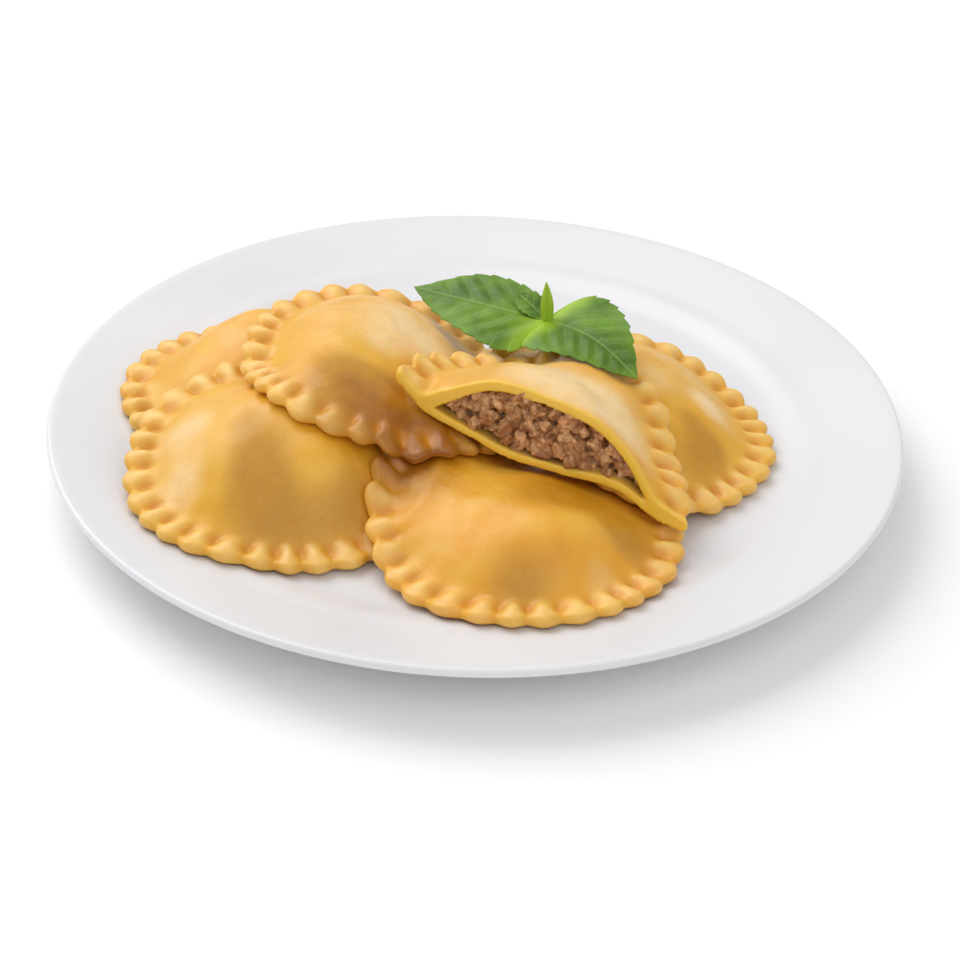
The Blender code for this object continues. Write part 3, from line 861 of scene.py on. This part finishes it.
class Leaf:
    """A basil leaf along a spine from foot to tip, draped over the heap; sizes in millimetres."""

    def __init__(self, name, tip, far, near, arch, bend, tilts, veins, teeth, curl):
        """Far and near hold each side's half width and the share of the length where it is widest."""
        self.name = name
        self.foot = np.array(SPRIG_FOOT)
        self.tip = np.array(tip)
        self.far, self.near = far, near
        self.arch, self.bend, self.curl = arch, bend, curl
        self.far_tilt, self.near_tilt = tilts
        self.veins, self.teeth = veins, teeth
        run = self.tip[:2] - self.foot[:2]
        self.length = float(np.hypot(*run))
        self.along = run / self.length
        self.side = np.array((-self.along[1], self.along[0])) * np.sign(self.along[0])

    def half(self, share, across):
        """Half width of the blade at a share of its length, with the teeth of its margin."""
        share = np.clip(share, 0.0, 1.0)
        plain = 0.0
        for side, (width, widest) in ((across > 0.0, self.far), (across <= 0.0, self.near)):
            skewed = share ** (math.log(0.5) / math.log(widest))
            plain = plain + side * width * np.maximum(np.sin(math.pi * skewed), 0.0) ** LEAF_FULLNESS
        tooth = (share * self.teeth) % 1.0
        return plain + LEAF_TOOTH * tooth * ease(plain / LEAF_TOOTHED) + LEAF_LEAST

    def vein_distance(self, share, reach):
        """Distance to the nearest side vein."""
        place = share * self.length - VEIN_LEAN * np.abs(reach) - VEIN_SWEEP * reach ** 2
        roots = np.linspace(*VEIN_SPAN, self.veins) * self.length
        return np.min([np.abs(place - root) for root in roots], axis=0) * VEIN_ACROSS

    def relief(self, share, across, reach):
        """Rise of the blade between its veins, and the groove along its rib."""
        start, end = PUCKER_ENDS
        fade = (1.0 - np.abs(across) ** 4) * ease(share / start) * ease((1.0 - share) / end)
        by_vein, by_rib = PUCKER_WIDTHS
        pucker = (1.0 - spot(self.vein_distance(share, reach), by_vein)) * (1.0 - spot(reach, by_rib))
        return (PUCKER_LEAF * pucker - RIB_GROOVE * spot(reach, RIB_GROOVE_WIDTH)) * fade

    def veined(self, share, across, reach):
        """1 on the rib, less on a side vein, 0 between them."""
        at_foot, thinner = RIB_WIDTHS
        fade = (1.0 - VEIN_FADE * np.abs(across)) * ease(share / VEIN_START)
        side_vein = spot(self.vein_distance(share, reach), VEIN_WIDTH) * fade
        return np.maximum(spot(reach, at_foot - thinner * share), VEIN_SHARE * side_vein)

    def surface(self, share, across):
        """Position of a point of the blade's middle surface, and how near it is to a vein."""
        reach = across * self.half(share, across)
        hump = np.sin(math.pi * share)
        x, y = (self.foot[axis] + self.along[axis] * share * self.length
                + self.side[axis] * (reach + self.bend * hump) for axis in (0, 1))
        tilt = np.where(reach > 0.0, self.far_tilt, self.near_tilt)
        z = self.foot[2] + (self.tip[2] - self.foot[2]) * share + self.arch * hump + tilt * reach
        along, over = CURL_WAVES
        wave = self.curl * np.sin(along * share + over * across) * across ** 2
        return x, y, z + self.relief(share, across, reach) + wave, self.veined(share, across, reach)


def leaves_of_the_sprig():
    """Two large leaves and a small one."""
    return (
        Leaf("leaf_left", tip=(-17.0, 26.5, 35.5), far=(12.5, 0.42), near=(12.5, 0.2), arch=1.5,
             bend=-2.0, tilts=(0.08, 0.3), veins=6, teeth=9, curl=0.5),
        Leaf("leaf_right", tip=(39.0, -13.5, 34.0), far=(13.0, 0.2), near=(12.0, 0.2), arch=2.5,
             bend=1.0, tilts=(0.22, 0.15), veins=6, teeth=8, curl=0.5),
        Leaf("leaf_small", tip=(9.0, 17.0, 40.5), far=(3.0, 0.5), near=(3.0, 0.5), arch=0.5,
             bend=0.0, tilts=(0.3, 0.3), veins=5, teeth=6, curl=0.2))


def leaf_blade(leaf, heap):
    """A closed blade: two grids, one each side of the middle surface, joined round the margin."""
    stations = np.linspace(0.0, 1.0, LEAF_STATIONS)
    share, across = np.meshgrid(stations, np.linspace(-1.0, 1.0, LEAF_ACROSS), indexing="ij")
    x, y, z, vein = leaf.surface(share, across)
    under = np.max([piece.cover(x * MM, y * MM) for piece in heap], axis=0) / MM
    z = smooth_max(z, under + LEAF_REST, LEAF_SOFTNESS)
    thickness = LEAF_THICKNESS * (1.0 - LEAF_THINNING * across ** 4)
    points = [np.stack([x, y, z + side * thickness], axis=-1).reshape(-1, 3) * MM
              for side in (0.5, -0.5)]
    index = np.arange(share.size).reshape(share.shape)
    corners = (index[:-1, :-1], index[:-1, 1:], index[1:, 1:], index[1:, :-1])
    over = np.stack(corners, axis=-1).reshape(-1, 4)
    margin = np.concatenate((index[:, 0], index[-1, 1:], index[-2::-1, -1], index[0, -2:0:-1]))
    after = np.roll(margin, -1)
    wall = np.stack((margin, after, after + share.size, margin + share.size), axis=-1)
    faces = np.concatenate((over, over + share.size, wall)).tolist()
    thing = skinned(leaf.name, np.concatenate(points), faces)
    write_attributes(thing, vein=np.tile(vein.ravel(), 2), along=np.tile(share.ravel(), 2),
                     margin=np.tile(np.abs(across).ravel() ** 3, 2))
    return thing


def bud_radius(height):
    """Radius of the bud at a height above its foot, fullest a little way up."""
    share = max(height, 0.0) / BUD_HEIGHT
    turn = BUD_SWELL_FROM + (1.0 - BUD_SWELL_FROM) * share
    radius = BUD_RADIUS * (math.sin(math.pi * turn) ** BUD_FULLNESS + BUD_LEAST)
    return radius * (1.0 + BUD_TAPER * min(height, 0.0) / BUD_SINK)


def bud(name):
    """The upright heart of the sprig: two new leaves folded together, with a groove between."""
    shell = Shell()
    around = around_axis(BUD_SIDES)
    groove = 1.0 - BUD_GROOVE * spot(np.cos(around - BUD_FACING) - 1.0, BUD_GROOVE_WIDTH)
    x, y, z = SPRIG_FOOT
    rings = []
    for height in np.linspace(-BUD_SINK, BUD_HEIGHT - BUD_TIP, BUD_RINGS):
        share = max(height, 0.0) / BUD_HEIGHT
        flat = BUD_FLAT + (1.0 - BUD_FLAT) * share
        reach = bud_radius(height) * groove
        rings.append(shell.add((x + BUD_LEAN * share ** 2 + reach * np.cos(around)) * MM,
                               (y + reach * flat * np.sin(around)) * MM,
                               np.full(BUD_SIDES, (z + height) * MM)))
    shell.close(rings[0], (x * MM, y * MM, (z - BUD_SINK - BUD_BELOW) * MM))
    shell.chain(rings, ((x + BUD_LEAN) * MM, y * MM, (z + BUD_HEIGHT) * MM))
    thing = skinned(name, shell.points, shell.faces)
    write_attributes(thing, vein=BUD_VEIN, along=0.0, margin=0.0)
    return thing


def basil_sprig(name, heap):
    """The sprig as one piece: leaves and bud in one mesh."""
    parts = [leaf_blade(leaf, heap) for leaf in leaves_of_the_sprig()] + [bud("bud")]
    with bpy.context.temp_override(active_object=parts[0], selected_editable_objects=parts,
                                   selected_objects=parts):
        bpy.ops.object.join()
    parts[0].name = name
    return parts[0]


def colour(red, green, blue):
    """A screen colour from 0 to 255 as the shader wants it."""
    shares = (value / 255.0 for value in (red, green, blue))
    linear = (share / 12.92 if share <= 0.04045 else ((share + 0.055) / 1.055) ** 2.4
              for share in shares)
    return (*linear, 1.0)


class Look:
    """A Principled material and the nodes that feed it."""

    def __init__(self, name, roughness, **sockets):
        self.material = bpy.data.materials.new(name)
        self.material.use_nodes = True
        self.tree = self.material.node_tree
        self.shader = self.tree.nodes["Principled BSDF"]
        self.shader.inputs["Roughness"].default_value = roughness
        for socket, value in sockets.items():
            self.shader.inputs[socket.replace("_", " ")].default_value = value
        self.place = self.tree.nodes.new("ShaderNodeTexCoord").outputs["Object"]

    def node(self, kind, inputs, **settings):
        """A new node; each input is linked where its value is another node's output."""
        node = self.tree.nodes.new("ShaderNode" + kind)
        for name, value in settings.items():
            setattr(node, name, value)
        for socket, value in inputs.items():
            self.feed(node.inputs[socket], value)
        return node

    def feed(self, socket, value):
        """Link a value or set it."""
        if isinstance(value, bpy.types.NodeSocket):
            self.tree.links.new(value, socket)
        else:
            socket.default_value = value

    def attribute(self, name):
        """A value that was written for the mesh's points."""
        return self.node("Attribute", {}, attribute_name=name).outputs["Fac"]

    def noise(self, size, detail=2.0, distortion=0.0):
        """Smooth noise whose features are about so many millimetres large."""
        inputs = {"Vector": self.place, "Scale": 1.0 / (size * MM), "Detail": detail,
                  "Distortion": distortion}
        return self.node("TexNoise", inputs).outputs["Fac"]

    def cell_walls(self, size):
        """Distance to the nearest wall between cells of about so many millimetres."""
        inputs = {"Vector": self.place, "Scale": 1.0 / (size * MM)}
        return self.node("TexVoronoi", inputs, feature="DISTANCE_TO_EDGE").outputs["Distance"]

    def span(self, value, low, high, first=0.0, last=1.0):
        """Map low..high to first..last, smoothly and clipped."""
        inputs = {"Value": value, "From Min": low, "From Max": high, "To Min": first, "To Max": last}
        return self.node("MapRange", inputs, interpolation_type="SMOOTHSTEP").outputs["Result"]

    def product(self, first, second):
        """One value times another."""
        return self.node("Math", {0: first, 1: second}, operation="MULTIPLY").outputs["Value"]

    def mix(self, share, first, second):
        """From the first colour to the second; both have red, green and blue from 0 to 255."""
        tints = [colour(*tint) if isinstance(tint, tuple) else tint for tint in (first, second)]
        inputs = {"Factor": share, 6: tints[0], 7: tints[1]}
        return self.node("Mix", inputs, data_type="RGBA").outputs[2]

    def layer(self, base, share, strength, tint):
        """A colour laid over the base by a share, never more than its strength."""
        return self.mix(self.product(share, strength), base, tint)

    def bump(self, height, distance, below=None):
        """A relief of so many millimetres, over another where one is given."""
        inputs = {"Strength": 1.0, "Distance": distance * MM, "Height": height}
        if below is not None:
            inputs["Normal"] = below
        return self.node("Bump", inputs).outputs["Normal"]

    def finish(self, base, roughness=None, normal=None):
        """Link what was made to the shader."""
        for socket, value in (("Base Color", base), ("Roughness", roughness), ("Normal", normal)):
            if value is not None:
                self.feed(self.shader.inputs[socket], value)
        return self.material


def pasta_look(name, warmth):
    """Boiled egg dough: golden, cream where a highlight is painted, deeper where the filling shows through,
    with painted shade in crevices and dimples.
    """
    look = Look(name, 0.42, Subsurface_Weight=0.4, Subsurface_Radius=(1.0, 0.4, 0.1),
                Subsurface_Scale=2.0 * MM, Coat_Weight=0.15, Coat_Roughness=0.35)
    golden = look.mix(warmth, (230, 174, 40), (234, 164, 34))
    broad = look.span(look.noise(15.0), 0.35, 0.7)
    base = look.mix(broad, golden, (234, 180, 58))
    tone = look.attribute("tone")
    # Painted highlight in cream where the tone is above 0.
    base = look.layer(base, look.span(tone, 0.05, 0.75), 0.8, (252, 222, 170))
    # Where the tone is below 0: the filling showing through the dough, and painted shade.
    base = look.layer(base, look.span(tone, -0.75, -0.05, 1.0, 0.0), 0.8, (186, 126, 10))
    # Painted highlight on the flute crests, dimmed where the tone paints shade.
    crest = look.product(look.attribute("ridge"), look.span(tone, -1.1, -0.2, 0.2, 0.6))
    base = look.mix(crest, base, (250, 218, 138))
    # Painted shade in crevices and under the pieces above, where the tone is lowest.
    base = look.mix(look.span(tone, -1.7, -0.8, 0.85, 0.0), base, (150, 82, 12))
    # Painted shade in the dimples between the flutes.
    base = look.layer(base, look.attribute("pit"), 0.9, (216, 142, 22))
    mottle = look.span(look.noise(6.0, 3.0, 0.4), 0.4, 0.7)
    base = look.layer(base, mottle, 0.22, (220, 156, 34))
    fleck = look.span(look.noise(1.5, 3.0), 0.55, 0.8)
    base = look.layer(base, fleck, 0.08, (250, 222, 150))
    base = look.layer(base, look.attribute("cut"), 0.85, (242, 198, 62))
    base = look.layer(base, look.attribute("stain"), 0.7, (168, 136, 70))
    rough = look.span(look.noise(5.0, 3.0), 0.3, 0.75, 0.36, 0.56)
    grain = look.bump(look.noise(0.8, 4.0), 0.05)
    wrinkle = look.bump(look.noise(4.0, 3.0, 0.8), 0.16, grain)
    return look.finish(base, rough, wrinkle)


def porcelain_look(name):
    """White glaze, very slightly uneven."""
    look = Look(name, 0.3, Coat_Weight=0.1, Coat_Roughness=0.15)
    cloudy = look.span(look.noise(60.0), 0.3, 0.7)
    base = look.mix(cloudy, (226, 226, 229), (230, 230, 233))
    rough = look.span(look.noise(40.0, 1.0), 0.2, 0.8, 0.27, 0.33)
    ripple = look.bump(look.noise(40.0, 1.0), 0.05)
    return look.finish(base, rough, ripple)


def meat_look(name):
    """Browned mince: crumbs of differing browns, painted shade in the gaps between, moist."""
    look = Look(name, 0.45, Subsurface_Weight=0.15, Subsurface_Radius=(1.0, 0.4, 0.25),
                Subsurface_Scale=0.8 * MM)
    brown = look.span(look.noise(3.2, 2.0, 0.5), 0.38, 0.64)
    base = look.mix(brown, (166, 110, 64), (224, 172, 118))
    rosy = look.span(look.noise(4.6, 1.0), 0.66, 0.72)
    base = look.layer(base, rosy, 0.8, (236, 164, 112))
    mottle = look.span(look.noise(1.0, 4.0), 0.4, 0.7)
    base = look.layer(base, mottle, 0.45, (118, 70, 44))
    # Painted shade in the gaps between crumbs: darker the further a point lies behind the cut face.
    gap = look.span(look.attribute("deep"), 0.32, 0.85, 0.0, 0.9)
    base = look.mix(gap, base, (50, 25, 13))
    rough = look.span(look.noise(1.8, 3.0), 0.35, 0.7, 0.3, 0.55)
    fibre = look.bump(look.noise(0.4, 4.0, 0.8), 0.1)
    lump = look.bump(look.noise(1.1, 3.0), 0.2, fibre)
    return look.finish(base, rough, lump)


def basil_look(name):
    """Fresh green leaf: brighter at the foot as painted light shining through, faint veins, a soft gloss.
    """
    look = Look(name, 0.42, Subsurface_Weight=0.1, Subsurface_Radius=(0.3, 1.0, 0.1),
                Subsurface_Scale=0.6 * MM, Specular_IOR_Level=0.35)
    green = look.span(look.noise(8.0, 3.0), 0.3, 0.7)
    base = look.mix(green, (72, 108, 16), (108, 148, 28))
    # Painted light shining through the blade near its foot.
    painted_backlight = look.span(look.attribute("along"), 0.0, 0.22, 1.0, 0.0)
    base = look.layer(base, painted_backlight, 0.85, (172, 208, 52))
    base = look.layer(base, look.attribute("vein"), 0.45, (150, 184, 92))
    base = look.layer(base, look.attribute("margin"), 0.3, (122, 164, 52))
    rough = look.span(look.noise(2.5, 3.0), 0.3, 0.7, 0.38, 0.5)
    net = look.bump(look.cell_walls(1.3), 0.06)
    fine = look.bump(look.noise(0.5, 3.0), 0.03, net)
    return look.finish(base, rough, fine)


def floor_look(name):
    """Matt white card."""
    look = Look(name, 0.9)
    faint = look.span(look.noise(400.0), 0.3, 0.7)
    return look.finish(look.mix(faint, (252, 252, 252), (254, 254, 254)))


def dress(thing, material, node):
    """Give a piece its look and say what it stands for."""
    thing.data.materials.clear()
    thing.data.materials.append(material)
    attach(thing, "root")
    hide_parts(node)


def set_camera():
    """The camera at the photograph's viewing angle."""
    data = bpy.data.cameras.new("camera")
    data.lens = CAMERA_LENS
    camera = bpy.data.objects.new("camera", data)
    tip = Matrix.Rotation(0.5 * math.pi - CAMERA_ELEVATION, 4, "X")
    roll = Matrix.Rotation(CAMERA_ROLL, 4, "Z")
    back = Matrix.Translation((0.0, 0.0, CAMERA_DISTANCE))
    camera.matrix_world = Matrix.Translation(CAMERA_TARGET) @ tip @ roll @ back
    bpy.context.scene.collection.objects.link(camera)
    bpy.context.scene.camera = camera


def soft_light(name, place, power, size):
    """A square area light aimed at the middle of the plate."""
    data = bpy.data.lights.new(name, "AREA")
    data.energy = power
    data.size = size
    lamp = bpy.data.objects.new(name, data)
    lamp.location = place
    lamp.rotation_euler = (-Vector(place)).to_track_quat("-Z", "Y").to_euler()
    bpy.context.scene.collection.objects.link(lamp)


def set_studio():
    """Pale floor, even surroundings, a broad light high behind on the left and a fill in front."""
    world = bpy.data.worlds.new("studio")
    bpy.context.scene.world = world
    world.use_nodes = True
    background = world.node_tree.nodes["Background"]
    background.inputs["Color"].default_value = (1.0, 1.0, 1.0, 1.0)
    background.inputs["Strength"].default_value = WORLD_STRENGTH
    bpy.context.scene.view_settings.view_transform = "Standard"
    soft_light("key", *KEY_LIGHT)
    soft_light("fill", *FILL_LIGHT)
    mesh = bmesh.new()
    bmesh.ops.create_grid(mesh, x_segments=8, y_segments=8, size=FLOOR_SIZE)
    floor = finished("floor", mesh)
    floor.location.z = -FLOOR_GAP
    floor.data.materials.append(floor_look("white_card"))


def main():
    """Load the frame, build every piece, light it and hand over."""
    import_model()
    set_camera()
    dress(turned_plate("dinner_plate"), porcelain_look("porcelain"), "plate")
    heap = lie_of_the_heap()
    for piece in heap:
        build = cut_ravioli if piece is heap[-1] else ravioli_shell
        thing = build("pasta_" + piece.name, piece)
        mark_pasta(thing, piece)
        dress(thing, pasta_look("dough_" + piece.name, piece.warmth), piece.name)
    dress(minced_filling("minced_filling", heap[-1]), meat_look("minced_meat"),
          "cut_ravioli_filling")
    dress(basil_sprig("sprig_of_basil", heap), basil_look("basil_leaf"), "basil_sprig")
    set_studio()
    bpy.context.view_layer.update()


main()
